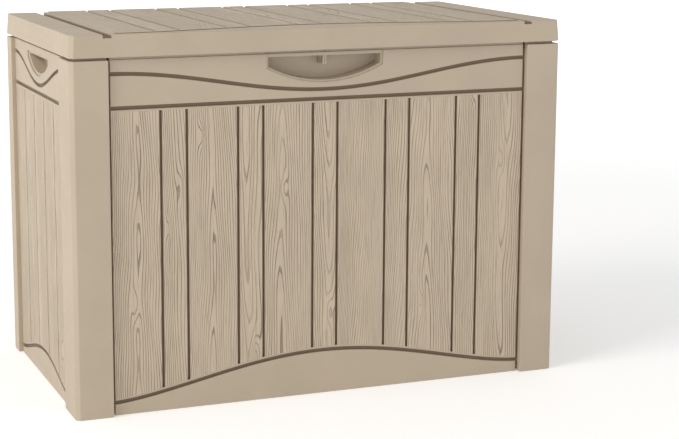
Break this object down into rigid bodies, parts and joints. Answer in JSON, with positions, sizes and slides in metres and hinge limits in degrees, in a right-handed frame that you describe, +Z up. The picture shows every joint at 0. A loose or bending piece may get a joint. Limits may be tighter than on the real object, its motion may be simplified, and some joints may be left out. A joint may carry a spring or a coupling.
{
  "type": "deck storage box",
  "caption": "Small resin deck storage box with wood-look planks, corner posts, moulded finger and side grips, and a rear-hinged lid with a padlock tab.",
  "frame": {"origin": "on the ground under the middle of the box", "axes": "+X along the long side, to the right seen from the front; +Y to the rear; +Z up"},
  "size_m": [0.6, 0.332, 0.4315],
  "materials": {
    "resin_shell": "matt, moulded with wood grain on the planks",
    "resin_inner": "matt, plain",
    "zinc_steel": "zinc plated"
  },
  "bodies": {
    "box_body": {"floor_panel": "resin_inner", "left_end_panel": "resin_shell", "right_end_panel": "resin_shell", "front_panel": "resin_shell", "finger_cup": "resin_shell", "back_panel": "resin_shell", "box_lock_tab": "resin_shell", "box_tab_screw_1": "zinc_steel", "box_tab_screw_2": "zinc_steel", "left_hinge_bracket": "resin_inner", "left_hinge_pin": "zinc_steel", "left_bracket_screw_1": "zinc_steel", "left_bracket_screw_2": "zinc_steel", "right_hinge_bracket": "resin_inner", "right_hinge_pin": "zinc_steel", "right_bracket_screw_1": "zinc_steel", "right_bracket_screw_2": "zinc_steel"},
    "lid": {"lid_shell": "resin_shell", "lid_lock_tab": "resin_shell", "lock_tab_screw_1": "zinc_steel", "lock_tab_screw_2": "zinc_steel", "left_hinge_arm": "resin_inner", "left_arm_screw_1": "zinc_steel", "left_arm_screw_2": "zinc_steel", "right_hinge_arm": "resin_inner", "right_arm_screw_1": "zinc_steel", "right_arm_screw_2": "zinc_steel"}
  },
  "joints": [
    {"name": "lid_hinge", "type": "hinge", "parent": "box_body", "child": "lid", "pos_m": [0, 0.161, 0.3997], "axis": [-1, 0, 0], "range_deg": [0, 98]}
  ]
}
